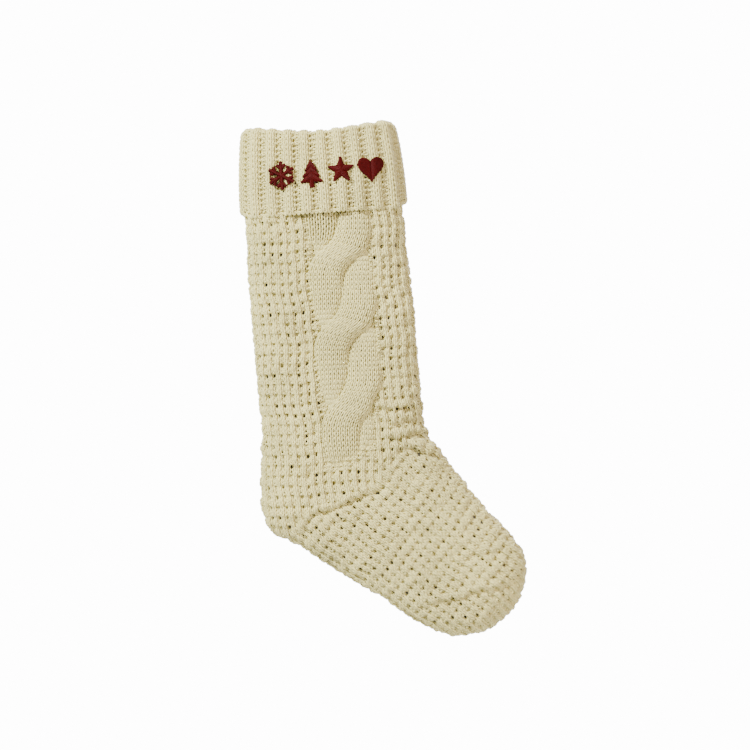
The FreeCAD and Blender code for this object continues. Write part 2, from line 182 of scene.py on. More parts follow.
# -------- creases and wrinkles
def line_distance(x, z, points):
    """Distance to an open line of points, positive on its left looking along it, and the share along it."""
    best = np.full(np.shape(x), np.inf)
    sign = np.ones(np.shape(x))
    along = np.zeros(np.shape(x))
    total = lengths(points)[-1]
    done = 0.0
    for a, b in zip(points[:-1], points[1:]):
        ab = b - a
        size = math.hypot(*ab)
        t = np.clip(((x - a[0]) * ab[0] + (z - a[1]) * ab[1]) / size ** 2, 0, 1)
        d = np.hypot(x - a[0] - t * ab[0], z - a[1] - t * ab[1])
        near = d < best
        best = np.where(near, d, best)
        sign = np.where(near, np.sign(ab[0] * (z - a[1]) - ab[1] * (x - a[0])), sign)
        along = np.where(near, (done + t * size) / total, along)
        done += size
    return best * sign, along


def crease(x, z, points, depth, width, over):
    """A groove along a line, deepest in its middle, with its left side lying over its right."""
    d, along = line_distance(x, z, placed(points))
    fade = np.sin(np.pi * np.clip(along, 0.02, 0.98)) ** 0.5
    groove = -depth * np.exp(-(d / width) ** 2)
    ridge = over * np.exp(-((d - 1.9 * width) / (1.3 * width)) ** 2)
    return fade * (groove + ridge)


toe_line = [(62, -433), (76, -429), (88, -427), (101, -425.5), (114, -420.5), (128, -420), (138, -417.5),
            (150, -412)]
ankle = (2.6, 2.3, 1.8, 1.6)
creases = [
    # depth, width, how far one side lies over the other, how unsteady, and the line from the mouth's centre
    (3.0, 2.4, 1.7, 1.0, [(-40, -367), (-36.5, -358), (-31, -347), (-24.5, -341), (-12, -340.5), (-1, -336),
                          (10, -332), (19, -329), (36, -324)]),
    (1.6, 3.0, 0.9, 1.0, [(-70, -344), (-52, -346), (-41, -348), (-33, -345)]),
    (*ankle, [(34, -251), (46, -257), (58, -254), (74, -257)]),
    (*ankle, [(38, -264), (50, -268), (62, -265), (78, -270)]),
    (*ankle, [(36, -277), (50, -282), (64, -277), (86, -284)]),
    (*ankle, [(48, -292), (62, -290), (74, -296), (92, -300)]),
    (2.6, 2.8, 1.8, 1.0, toe_line),
    (1.6, 2.5, 1.0, 1.0, [(102, -391), (108, -390), (124, -387.5), (144, -386)]),
]
pucker_middle = (60.0, -270.0)         # the small puckers at the ankle, from the mouth's centre
pucker_height = 1.1


def front_relief(x, z):
    """How far the front stands out of the smooth body, apart from the stitches."""
    wander = 0.8 * np.sin(0.9 * x + 0.3 * z) + 0.6 * np.sin(0.47 * x - 0.8 * z)
    relief = 0.0
    for depth, width, over, unsteady, line in creases:
        relief = relief + crease(x, z + unsteady * wander, line, depth, width, over)
    middle_x, middle_z = placed(pucker_middle)
    at_ankle = np.exp(-((x - middle_x) / 24.0) ** 2 - ((z - middle_z) / 20.0) ** 2)
    return relief + pucker_height * at_ankle * np.sin(0.62 * x + 0.30 * z) * np.sin(0.52 * z - 0.22 * x)


# -------- meshes
pieces = {}


def link(name, data):
    """An object in the scene that shows some data."""
    thing = bpy.data.objects.new(name, data)
    bpy.context.collection.objects.link(thing)
    return thing


def mesh_object(name, points, quads, caps=(), uvs=None):
    """A mesh of quads, with some many-cornered caps."""
    quads = np.asarray(quads, np.int32)
    caps = [np.asarray(c, np.int32) for c in caps]
    loops = np.concatenate([quads.ravel(), *caps])
    totals = np.array([4] * len(quads) + [len(c) for c in caps], np.int32)
    starts = np.concatenate([[0], np.cumsum(totals)[:-1]]).astype(np.int32)
    mesh = bpy.data.meshes.new(name)
    mesh.vertices.add(len(points))
    mesh.vertices.foreach_set("co", (np.asarray(points) * MM).astype(np.float32).ravel())
    mesh.loops.add(len(loops))
    mesh.loops.foreach_set("vertex_index", loops)
    mesh.polygons.add(len(totals))
    mesh.polygons.foreach_set("loop_start", starts)
    mesh.polygons.foreach_set("loop_total", totals)
    mesh.update(calc_edges=True)
    if uvs is not None:
        layer = mesh.uv_layers.new(name="yarn")
        flat = np.zeros((len(loops), 2), np.float32)
        flat[:len(uvs)] = uvs
        layer.data.foreach_set("uv", flat.ravel())
    mesh.shade_smooth()
    mesh.validate()
    return link(name, mesh)


def sheet(name, outer, inner, closed_round=True, closed_below=False):
    """A thin sheet between two grids of points whose rows go up, open or closed round into a band."""
    size = outer.shape[0] * outer.shape[1]
    index = np.arange(size).reshape(outer.shape[:2])
    if closed_round:
        index = np.hstack([index, index[:, :1]])
        rims = [index[-1, ::-1]] if closed_below else [index[0], index[-1, ::-1]]
    else:
        rims = [np.concatenate([index[0, :-1], index[:-1, -1], index[-1, :0:-1], index[::-1, 0]])]
    face = np.stack([index[:-1, :-1], index[:-1, 1:], index[1:, 1:], index[1:, :-1]], -1).reshape(-1, 4)
    quads = [face, face[:, ::-1] + size]
    for rim in rims:
        quads.append(np.stack([rim[1:], rim[:-1], rim[:-1] + size, rim[1:] + size], -1))
    caps = [index[0, :0:-1], index[0, :-1] + size] if closed_below else []
    points = np.concatenate([outer.reshape(-1, 3), inner.reshape(-1, 3)])
    pieces[name] = mesh_object(name, points, np.concatenate(quads), caps)


def tube_corners(path, normal, radius, closed, sides):
    """Corners of a tube round a path, with the normal as its up direction."""
    if closed:
        tangent = unit(np.roll(path, -1, axis=0) - np.roll(path, 1, axis=0))
    else:
        tangent = unit(np.gradient(path, axis=0))
    up = unit(normal - (normal * tangent).sum(1)[:, None] * tangent)
    side = np.cross(tangent, up)
    angle = 2 * np.pi * np.arange(sides)[None, :, None] / sides
    return path[:, None, :] + radius * (np.cos(angle) * up[:, None, :] + np.sin(angle) * side[:, None, :])


class YarnMesh:
    """Collects tubes of yarn and makes one piece of them."""

    def __init__(self):
        self.points = []
        self.quads = []
        self.caps = []
        self.uvs = []
        self.count = 0

    def add(self, path, normal, radius=yarn_radius, closed=False, sides=loop_sides):
        """Adds a tube. Its UVs are millimetres along the yarn and the share of the way round it."""
        n = len(path)
        index = self.count + np.arange(n * sides).reshape(n, sides)
        after = np.roll(index, -1, axis=0) if closed else index[1:]
        here = index if closed else index[:-1]
        quads = np.stack([here, np.roll(here, -1, axis=1), np.roll(after, -1, axis=1), after], -1)
        along = lengths(path) + rng.uniform(0, 50)
        if closed:
            along = np.append(along, along[-1] + np.linalg.norm(path[0] - path[-1]))
        rows = len(quads)
        around = np.arange(sides + 1) / sides
        uv = np.zeros((rows, sides, 4, 2), np.float32)
        uv[..., 0, 0] = uv[..., 1, 0] = along[:rows, None]
        uv[..., 2, 0] = uv[..., 3, 0] = along[1:rows + 1, None]
        uv[..., 0, 1] = uv[..., 3, 1] = around[None, :-1]
        uv[..., 1, 1] = uv[..., 2, 1] = around[None, 1:]
        self.points.append(tube_corners(path, normal, radius, closed, sides).reshape(-1, 3))
        self.quads.append(quads.reshape(-1, 4))
        self.uvs.append(uv.reshape(-1, 2))
        if not closed:
            self.caps += [index[0][::-1], index[-1]]
        self.count += n * sides

    def build(self, name):
        points, quads, uvs = np.vstack(self.points), np.vstack(self.quads), np.vstack(self.uvs)
        pieces[name] = mesh_object(name, points, quads, self.caps, uvs)


def twisted_yarns(path, normal, radius, spread, pitch, yarn):
    """Two yarns wound round each other along a path."""
    side = np.cross(unit(np.gradient(path, axis=0)), normal)
    for share in (0.0, 0.5):
        a = (2 * np.pi * (lengths(path) / pitch + share))[:, None]
        yarn.add(path + spread * (np.cos(a) * normal + np.sin(a) * side), normal, radius=radius)


# -------- knitting on a surface
class Cloth:
    """A grid of surface points, rows by fine columns, with even stitches laid along each row.

    points[k, m] is the surface at row first_row + k * step and fine column m; arc[k, m] is its place along
    the row, in millimetres from the middle."""

    def __init__(self, points, arc, first_row, step):
        self.points = points
        self.arc = arc
        self.first = first_row
        self.step = step
        self.normal = unit(np.cross(np.gradient(points, axis=1), np.gradient(points, axis=0)))

    def at(self, u, v):
        """Surface point and outward normal at distance u along the row and at row v."""
        k = np.clip((v - self.first) / self.step, 0, len(self.points) - 1.001)
        k0 = np.floor(k).astype(int)
        t = (k - k0)[:, None]
        low = self.row(k0, u)
        high = self.row(k0 + 1, u)
        return low[0] * (1 - t) + high[0] * t, unit(low[1] * (1 - t) + high[1] * t)

    def row(self, k, u):
        """Points and normals on the grid's own rows k."""
        point = np.zeros((len(u), 3))
        normal = np.zeros((len(u), 3))
        for r in np.unique(k):
            m = k == r
            for c in range(3):
                point[m, c] = np.interp(u[m], self.arc[r], self.points[r, :, c])
                normal[m, c] = np.interp(u[m], self.arc[r], self.normal[r, :, c])
        return point, normal


hole_core = 0.05              # keeps the yarn at the very middle of a hole from flying off, in mm squared


def push_aside(u, v, centre_u, centre_v, clear, reach):
    """Moves points of yarn away from a hole, and says how near to it they are, from 0 to 1."""
    du = u - centre_u
    dv = (v - centre_v) * row_height
    r2 = du ** 2 + dv ** 2
    near = np.exp(-r2 / reach ** 2)
    grow = np.sqrt(1 + clear ** 2 * near / (r2 + hole_core))
    return centre_u + du * grow, centre_v + dv * grow / row_height, near


def uneven(column, row):
    """A number from 0 to 1 for each stitch, the same each time it is asked for."""
    q = np.sin(column * 12.9898 + row * 78.233) * 43758.5453
    return q - np.floor(q)


hole_kinds = [
    # first row, least size, how much the size varies, how far it strays aside in stitches, reach, dip
    (0.45, 0.50, 0.8, 0.45, 2.1, 1.1),
    (1.45, 0.35, 1.0, 0.60, 1.6, 0.5),
]
hole_stray_up = 0.35          # how far a hole strays up or down, in rows


def lattice_holes(width, sizes):
    """Holes at every other column, large and small by turns up the column, in rows that wander a little."""
    def warp(u, v):
        column = 2 * np.round((u / width - 1) / 2) + 1
        rows = [2 * np.round((v - kind[0]) / 2) + kind[0] for kind in hole_kinds]
        dip = 0.30 * np.cos(np.pi * (v - 1.45)) + 0.25 * np.cos(np.pi * (u / width))
        wander_u = 0.9 * np.sin(0.31 * v + 1.0) + 0.5 * np.sin(0.83 * v)
        wander_v = 0.16 * np.sin(0.09 * u + 2.0) + 0.10 * np.sin(0.21 * u)
        for row, clear, (_, least, varies, stray, reach, deep) in zip(rows, sizes, hole_kinds):
            size = least + varies * uneven(column, row)
            centre_u = width * (column + stray * (uneven(row, column) - 0.5))
            centre_v = row + hole_stray_up * (uneven(column + 3, row) - 0.5)
            u, v, near = push_aside(u, v, centre_u, centre_v, clear * size, reach)
            dip = dip - deep * size * near
        return u + wander_u, v + wander_v, dip
    return warp


half_turn = np.pi * (2 * (np.arange(loop_steps) + 0.5) / loop_steps - 1)
loop_hug = 1.7                # how steeply a yarn passes from the front of the fabric to the back


def knit_row(cloth, row, columns, width, kind, relief, warp=None, depth=loop_depth):
    """The path of one row's yarn through a run of neighbouring columns, and the normals along it.

    kind(column, row) is +1 for a knit stitch and -1 for a purl one."""
    here = np.array([[kind(c, row)] for c in columns], float)
    above = np.array([[kind(c, row + 1)] for c in columns], float)
    before = np.array([[kind(c - 1, row)] for c in columns], float)
    after = np.array([[kind(c + 1, row)] for c in columns], float)
    t = half_turn[None, :]
    n = len(columns)
    head = np.cos(t / 2) ** 2
    sway = rng.normal(0, loop_wobble, (n, 1))
    climb = rng.normal(0, loop_wobble, (n, 1))
    proud = np.clip(rng.normal(0, loop_proud, (n, 1)), -0.4, 0.5)
    u = (columns[:, None] + t / (2 * np.pi) + loop_bulge * np.sin(2 * t)) * width + sway * head
    v = row + loop_rise * np.cos(t) + 0.25 * climb * head
    lower = smooth(0.30 * np.pi, 0.70 * np.pi, np.abs(t))
    own = above * (1 - lower) + here * lower
    foot = smooth(0.72 * np.pi, np.pi, np.abs(t))
    own = own * (1 - foot) + foot * 0.5 * (here + np.where(t > 0, after, before))
    through = -np.tanh(loop_hug * np.cos(2 * t)) / math.tanh(loop_hug) - 0.35 * np.cos(t)
    height = own * depth * (1 + proud * head) * through
    u = u.ravel()
    v = v.ravel()
    dip = 0.0
    if warp:
        u, v, dip = warp(u, v)
    point, normal = cloth.at(u, v)
    lift = height.ravel() + relief(point[:, 0], point[:, 2], u, v) + dip
    return point + normal * lift[:, None], normal


# -------- surfaces of the leg and the foot
sole_turn = math.radians(40.5)         # wales of the foot, below level
foot_down = np.array([math.cos(sole_turn), -math.sin(sole_turn)])
foot_up = np.array([math.sin(sole_turn), math.cos(sole_turn)])
foot_middle = placed((60.0, -366.0))
cloth_step = 0.25             # rows between the lines of a Cloth's grid
cloth_columns = 241
least_row_width = 1.5


def crossings(origin, direction):
    """How far along a line of the front view it enters and leaves the silhouette."""
    a = outline
    b = np.roll(outline, -1, axis=0)
    normal = np.array([-direction[1], direction[0]])
    da = (a - origin) @ normal
    db = (b - origin) @ normal
    hit = (da > 0) != (db > 0)
    t = da[hit] / (da[hit] - db[hit])
    p = a[hit] + (b[hit] - a[hit]) * t[:, None]
    return (p - origin) @ direction


def body_cloth(first, last, side, line):
    """The front (side -1) or back (+1) of the body as a Cloth. line(v) gives a row's origin and direction."""
    grid, arcs, kept = [], [], []
    for v in np.arange(first, last + 1e-6, cloth_step):
        origin, direction = line(v)
        s = crossings(origin, direction)
        if not (s < 0).any() or not (s > 0).any():
            continue
        below, above = s[s < 0].max(), s[s > 0].min()
        if above - below < least_row_width:
            continue
        place = below + (above - below) * crowded(cloth_columns)
        x = origin[0] + direction[0] * place
        z = origin[1] + direction[1] * place
        y = side * body_depth(x, z)
        y[0] = y[-1] = 0.0
        points = np.stack([x, y, z], 1)
        d = lengths(points)
        grid.append(points)
        arcs.append(d - np.interp(0.0, place, d))
        kept.append(v)
    cloth = Cloth(np.array(grid), np.array(arcs), kept[0], cloth_step)
    cloth.normal *= -side
    return cloth


leg_bottom_z = top_z - 372.0
leg_lean = 4.2 / 215.0        # the leg's middle line moves towards the toe as it goes down


def leg_line(v):
    """Row v of the leg, counted upwards from its lowest."""
    z = leg_bottom_z + v * row_height
    x = cuff_x + leg_lean * (top_z - 60.0 - z)
    return np.array([x, z]), np.array([1.0, 0.0])


toe_reach = ((outline - foot_middle) @ foot_down).max()
toe_cap = 25.0                # the last stretch, where the rows lie closer as they go round the toe's end
toe_closing = 1.6             # how much closer
toe_first_row = -(toe_reach - toe_cap) / row_height
toe_rows = toe_closing * toe_cap / row_height


def foot_line(v):
    """Row v of the foot, counted upwards along it from the toe."""
    down_foot = -v * row_height
    share = (toe_first_row - v) / toe_rows
    if share > 0:
        down_foot = toe_reach - toe_cap * max(1 - share, 0.0) ** toe_closing
    return foot_middle + foot_down * down_foot, foot_up


# The line where the leg's knitting meets the foot's, drawn out past the silhouette at both ends.
mitre = [(-109.5, -417.5), (-49.5, -367.5), (-36, -345.0), (24, -323.0), (76.5, -275.0), (136.5, -220.0)]


def above_mitre(x, z):
    """Distance above the mitre, negative below it."""
    return line_distance(x, z, placed(mitre))[0]


# -------- the cable panel
panel_left = -18.5            # the panel's edges, from the mouth's centre line
panel_right = 41.5
panel_drift = 3.5             # how far the left edge moves towards the toe on its way down
panel_narrowing = 8.0         # how far the right edge moves in above the ankle
panel_slant = 18.0            # how much higher the panel ends at its instep side
panel_sink = 1.5
under_cable_sink = 1.7        # how much deeper the ground lies under the cable
cable_end_z = top_z - 303.0


def cable_side(side, z):
    """X of the left or right edge of the cable panel."""
    if side < 0:
        return cuff_x + panel_left + panel_drift * np.clip((top_z - 76.0 - z) / 229.0, 0, 1)
    return cuff_x + panel_right - panel_narrowing * down(225, 262, z)


def cable_end(x):
    """Z of the cable panel's lower edge, which runs up towards the instep."""
    return cable_end_z + panel_slant * smooth(cuff_x - 2.0, cuff_x + 40.0, x) ** 1.3


def in_cable_panel(x, z):
    return (x > cable_side(-1, z)) & (x < cable_side(1, z)) & (z > cable_end(x))


# -------- the body's knitting
def fabric_noise(x, z, seed):
    """A slow uneven swell of the fabric, about 1 mm."""
    g = np.random.default_rng(seed)
    total = np.zeros(np.shape(x))
    for shortest, longest, size in ((22, 70, 0.16), (9, 18, 0.15), (4.5, 8, 0.10)):
        for _ in range(10):
            direction = g.uniform(0, 2 * np.pi)
            along = x * math.cos(direction) + z * math.sin(direction)
            turn = 2 * np.pi * along / g.uniform(shortest, longest)
            total += size * np.sin(turn + g.uniform(0, 2 * np.pi))
    return total


def front_lift(x, z, u, v):
    """How far the front's stitches lie out of the smooth body."""
    inside = np.minimum(x - cable_side(-1, z), cable_side(1, z) - x)
    above_end = z - cable_end(x)
    sink = panel_sink * smooth(0, 4, inside) * smooth(0, 12, above_end)
    sink += under_cable_sink * smooth(4, 11, inside) * smooth(8, 30, above_end)
    return front_relief(x, z) - sink + fabric_noise(x, z, 3)


def back_lift(x, z, u, v):
    return fabric_noise(x, z, 4)


def broken_rib(c, r):
    """Every other column is plain; the columns between them are plain and purl in turn."""
    return 1.0 if c % 2 == 0 or r % 2 == 0 else -1.0


def panel_purl(cloth):
    """Plain and purl as the leg has them, with the cable panel's ground all purl."""
    def kind(c, r):
        point, _ = cloth.at(np.array([c * stitch_width]), np.array([float(r)]))
        return -1.0 if in_cable_panel(point[0, 0], point[0, 2]) else broken_rib(c, r)
    return kind


def leg_front_label(x, z, row):
    """The piece that each stitch of the leg's front belongs to."""
    names = np.full(len(x), "leg_knit_ankle", dtype=object)
    beside_panel = z > cable_end_z - 6.0
    names[beside_panel] = "leg_knit_cable_ground"
    names[beside_panel & (x <= cable_side(-1, z))] = "leg_knit_heel_side"
    names[beside_panel & (x >= cable_side(1, z))] = "leg_knit_toe_side"
    return names


def leg_back_label(x, z, row):
    return np.array([f"leg_knit_back_{int(n)}" for n in (top_z - z) // back_piece_height], dtype=object)


def foot_label(prefix):
    def label(x, z, row):
        return np.full(len(x), prefix + ("toe" if row * row_height < toe_edge else "foot"), dtype=object)
    return label


def above_foot(x, z):
    """Where the leg is knitted: down to the mitre, and a little past it."""
    return (above_mitre(x, z) > -1.0) & (z < top_z - leg_top_drop)


def below_leg(x, z):
    """Where the foot is knitted: up to the mitre, and a little past it."""
    return above_mitre(x, z) < 2.0


def knit_body(cloth, rows, width, hole_sizes, wanted, kind, relief, label):
    """Knits a Cloth where it is wanted, as one piece for each label that its stitches fall under."""
    made = {}
    warp = lattice_holes(width, hole_sizes)
    for row in rows:
        k = int(np.clip(round((row - cloth.first) / cloth.step), 0, len(cloth.arc) - 1))
        first = math.ceil(cloth.arc[k][0] / width + 0.05)
        last = math.floor(cloth.arc[k][-1] / width - 0.05)
        if last < first:
            continue
        columns = np.arange(first, last + 1)
        point, _ = cloth.at(columns * float(width), np.full(len(columns), float(row)))
        names = label(point[:, 0], point[:, 2], row)
        names[~wanted(point[:, 0], point[:, 2])] = ""
        start = 0
        for i in range(1, len(columns) + 1):
            if i == len(columns) or names[i] != names[start]:
                if names[start]:
                    path, normal = knit_row(cloth, row, columns[start:i], width, kind, relief, warp)
                    made.setdefault(names[start], YarnMesh()).add(path, normal)
                start = i
    for name, yarn in made.items():
        yarn.build(name)


back_piece_height = 95.0
toe_edge = -42.0              # the toe's piece starts this far along the foot
leg_hole_sizes = (1.85, 1.35)
foot_hole_sizes = (1.65, 1.4)
last_leg_row = int((top_z - 48.0 - leg_bottom_z) / row_height)
last_foot_row = 32
leg_rows = range(0, last_leg_row + 1)
toe_end_row = math.ceil(toe_first_row - toe_rows)
leg_front = body_cloth(-1, last_leg_row + 2, -1, leg_line)
leg_back = body_cloth(-1, last_leg_row + 2, 1, leg_line)
foot_front = body_cloth(toe_end_row - 1, last_foot_row + 2, -1, foot_line)
foot_back = body_cloth(toe_end_row - 1, last_foot_row + 2, 1, foot_line)
foot_rows = range(max(toe_end_row, math.ceil(foot_front.first)), last_foot_row + 1)
on_leg = (leg_rows, stitch_width, leg_hole_sizes, above_foot)
on_foot = (foot_rows, foot_stitch_width, foot_hole_sizes, below_leg)
knit_body(leg_front, *on_leg, panel_purl(leg_front), front_lift, leg_front_label)
knit_body(leg_back, *on_leg, broken_rib, back_lift, leg_back_label)
knit_body(foot_front, *on_foot, broken_rib, front_lift, foot_label("knit_"))
knit_body(foot_back, *on_foot, broken_rib, back_lift, foot_label("back_knit_"))


# -------- lining: the inner face of the fabric, coloured dark as painted shade behind the holes
lining_step = 3.0
lining_columns = 61
lining_inset = 1.6            # from the silhouette
lining_sink = 1.9             # from the middle of the fabric
lining_thickness = 0.8
least_lining_width = 8.0


def lining():
    """A smooth skin inside the knitting, from under the cuff to the toe, so no hole shows the far side; its
    dark colour is painted shade seen through the holes.
    """
    rings = []
    for z in np.arange(top_z - 56.0, top_z - 461.0, -lining_step):
        origin = np.array([cuff_x + 40.0 * down(300, 450, z), z])
        s = crossings(origin, np.array([1.0, 0.0]))
        if len(s) < 2 or s.max() - s.min() < least_lining_width + 2 * lining_inset:
            continue
        low, high = s.min() + lining_inset, s.max() - lining_inset
        x = origin[0] + low + (high - low) * crowded(lining_columns)
        level = np.full(len(x), z)
        depth = body_depth(x, level) - lining_sink
        front = -np.maximum(depth + front_relief(x, level), 0.3)
        back = np.maximum(depth, 0.3)
        rings.append(np.vstack([np.stack([x, front, level], 1), np.stack([x, back, level], 1)[-2:0:-1]]))
    outer = np.array(rings[::-1])
    toward = outer.mean(axis=1, keepdims=True) - outer
    toward[:, :, 2] = 0
    sheet("leg_lining", outer, outer + lining_thickness * unit(toward), closed_below=True)


lining()


# -------- cuff
cuff_columns = 84             # stitches round, in ribs of two plain and two purl
rib_columns = 4
cuff_length = cuff_columns * cuff_stitch_width
ring_points = 720
ring_step = 1.0
fold_radius = 2.9
cuff_wall_inset = 2.3         # the middle of the knitted wall, inside the cuff's outer face
rib_relief = 1.05
cable_room = 3.6              # the cuff stands out this much where it hangs over the cable
cuff_belly = 1.2              # the cuff is this much wider on each side half-way down
spare_rows = 2 * row_height   # the surface goes this far past the first and the last row
cuff_top_size = np.array([141.0, 48.0])
cuff_low_size = (band_high - band_low)[:2]


def squared_ring(half_width, half_depth, power=2.5):
    """Points round a squared oval, evenly spaced, from the middle of the front towards +X."""
    a = np.linspace(-0.5 * np.pi, 1.5 * np.pi, 4 * ring_points + 1)
    c, s = np.cos(a), np.sin(a)
    x = half_width * np.sign(c) * np.abs(c) ** (2 / power)
    y = half_depth * np.sign(s) * np.abs(s) ** (2 / power)
    d = lengths(np.stack([x, y], 1))
    even = np.linspace(0, d[-1], ring_points, endpoint=False)
    return np.stack([np.interp(even, d, x), np.interp(even, d, y)], 1)


def top_wave(x):
    """How far the cuff's top edge stands above its middle: it rises to the corners and rounds over there."""
    x = x - cuff_x
    left = 6.5 * np.clip(-x / 60, 0, 1.1) ** 1.6
    right = 5.0 * np.clip(x / 60, 0, 1.1) ** 1.4
    corner = 6.0 * smooth(57.0, 71.0, np.abs(x)) ** 2
    return left + right - corner - 0.8 * np.exp(-((x - 8) / 25) ** 2)


def hem_wave(x):
    """How far the cuff's lower edge curls up at its corners."""
    return 5.5 * smooth(60.0, 75.0, np.abs(x - cuff_x)) ** 2


class Ring:
    """The cuff's surface: up its outer face, over the fold and down inside. u is in millimetres round it."""

    def __init__(self):
        self.base = cuff_bottom_z + 1.0
        self.top = top_z - fold_radius - 3.0
        self.outer_length = self.top - self.base
        self.fold_length = np.pi * fold_radius
        self.length = 2 * self.top - self.base + self.fold_length - band_low[2] - 9.0
        levels = np.arange(-spare_rows, self.length + spare_rows, ring_step)
        self.points = np.array([self.section(p) for p in levels])
        across = np.roll(self.points, -1, axis=1) - np.roll(self.points, 1, axis=1)
        self.normal = unit(np.cross(across, np.gradient(self.points, axis=0)))

    def section(self, p):
        """The ring of points at a distance from the hem, measured up and over."""
        inset = 0.0
        low = 0.0
        if p < self.outer_length:
            z = self.base + p
            low = float(smooth(self.base + 16.0, self.base, z))
        elif p < self.outer_length + self.fold_length:
            a = (p - self.outer_length) / fold_radius
            z, inset = self.top + fold_radius * math.sin(a), fold_radius * (1 - math.cos(a))
        else:
            z, inset = self.top - (p - self.outer_length - self.fold_length), 2 * fold_radius
        t = np.clip((self.top - z) / self.outer_length, -0.1, 1.05)
        half = (cuff_top_size + (cuff_low_size - cuff_top_size) * t) / 2 - cuff_wall_inset - inset
        half[0] += cuff_belly * math.sin(math.pi * float(np.clip(t, 0, 1)))
        x, y = squared_ring(*half).T
        x = x + cuff_x
        over_cable = np.exp(-((x - cuff_x - 8.0) / 33.0) ** 4) * down(22, 60, z)
        room = np.where((y < -0.5 * half[1]) & (inset == 0), cable_room * over_cable, 0.0)
        share = float(np.clip(1 - (self.top + fold_radius - z) / 60, 0, 1)) ** 2
        return np.stack([x, y - room, z + top_wave(x) * share + hem_wave(x) * low], 1)

    def at(self, u, v):
        k = np.clip((v * row_height + spare_rows) / ring_step, 0, len(self.points) - 1.001)
        k0 = np.floor(k).astype(int)
        t = (k - k0)[:, None]
        m = (u / cuff_length) % 1.0 * ring_points
        m0 = np.floor(m).astype(int) % ring_points
        s = (m - np.floor(m))[:, None]
        m1 = (m0 + 1) % ring_points

        def mixed(grid):
            low = grid[k0, m0] * (1 - s) + grid[k0, m1] * s
            high = grid[k0 + 1, m0] * (1 - s) + grid[k0 + 1, m1] * s
            return low * (1 - t) + high * t

        return mixed(self.points), unit(mixed(self.normal))


ring = Ring()


def rib_kind(c, r):
    """Two plain columns and two purl ones, by turns."""
    return 1.0 if c % rib_columns < rib_columns / 2 else -1.0


def rib_turn(u):
    """The angle of a place between one rib's crown and the next one's."""
    return 2 * np.pi * (u / cuff_stitch_width - 0.5) / rib_columns


def rib_lift(x, z, u, v):
    """Height of the ribs, which flatten where the fabric turns over the fold."""
    fold = (ring.outer_length + 0.5 * ring.fold_length) / row_height
    flatter = 1 - 0.6 * np.exp(-((v - fold) / 1.8) ** 2)
    return rib_relief * flatter * (np.cos(rib_turn(u)) + 0.12 * np.cos(3 * rib_turn(u)))


def rib_ladders(u, v):
    """Two columns of small holes in the valley beside each rib, one at every row, stepped by half a row."""
    dip = 0.0
    for place, step in ((2.0, 0.45), (3.0, 0.95)):
        column = rib_columns * np.round((u / cuff_stitch_width - place) / rib_columns) + place
        row = np.round(v - step) + step
        clear = 1.5 * (0.6 + 0.6 * uneven(column, row))
        u, v, near = push_aside(u, v, column * cuff_stitch_width, row, clear, 1.5)
        dip = dip - 0.8 * near
    return u, v, dip


outer_rows = int(ring.outer_length / row_height)
fold_rows = outer_rows + math.ceil(ring.fold_length / row_height) + 1
all_rows = int(ring.length / row_height) + 1
for name, rows in (("cuff_ribbing_low", range(0, outer_rows // 2)),
                   ("cuff_ribbing_high", range(outer_rows // 2, outer_rows)),
                   ("cuff_fold_ribbing", range(outer_rows, fold_rows)),
                   ("cuff_inside_ribbing", range(fold_rows, all_rows))):
    yarn = YarnMesh()
    for row in rows:
        columns = np.arange(cuff_columns)
        path, normal = knit_row(ring, row, columns, cuff_stitch_width, rib_kind, rib_lift, rib_ladders)
        yarn.add(path, normal, closed=True)
    yarn.build(name)


def bound_edge():
    """The chain of loops along the cuff's lower edge."""
    yarn = YarnMesh()
    u = np.linspace(0, cuff_length, 8 * cuff_columns + 1)
    point, normal = ring.at(u, np.full(len(u), -0.55))
    lift = 0.8 * rib_relief * np.cos(rib_turn(u)) - 0.5
    twisted_yarns(point + normal * lift[:, None], normal, 0.95, 0.75, 1.96 * cuff_stitch_width, yarn)
    yarn.build("cuff_edge_chain")


bound_edge()


def cuff_interlining():
    """The fabric's own thickness behind the ribs' loops, coloured dark as painted shade that shows through
    the ladders' holes.
    """
    along, step = 2, 6
    keep = slice(5, -6)
    grid = ring.points[::along, ::step][keep]
    normal = ring.normal[::along, ::step][keep]
    u = np.arange(0, ring_points, step) / ring_points * cuff_length
    lift = 0.6 * rib_lift(0, 0, u, 0)[None, :, None]
    sheet("cuff_rib_ground", grid + normal * (lift - 1.9), grid + normal * (lift - 2.4))


cuff_interlining()


def backing_sheet():
    """The stiff sheet that backs the embroidery, bowed and a little crumpled inside the cuff's front."""
    low, high = box_mm("embroidery_backing")
    across = np.linspace(low[0] + 0.5, high[0] - 0.5, 61)
    x, z = np.meshgrid(across, np.linspace(low[2] + 0.5, high[2] - 0.5, 21))
    bow = 1 - (2 * (x - low[0]) / (high[0] - low[0]) - 1) ** 2
    crumple = 0.10 * np.sin(0.6 * x + 0.4 * z) * np.sin(0.5 * z - 0.2 * x)
    front = high[1] - 0.9 - (high[1] - low[1] - 1.2) * bow + crumple
    outer, inner_face = np.stack([x, front, z], 2), np.stack([x, front + 0.5, z], 2)
    sheet("embroidery_backing_sheet", outer, inner_face, closed_round=False)


backing_sheet()


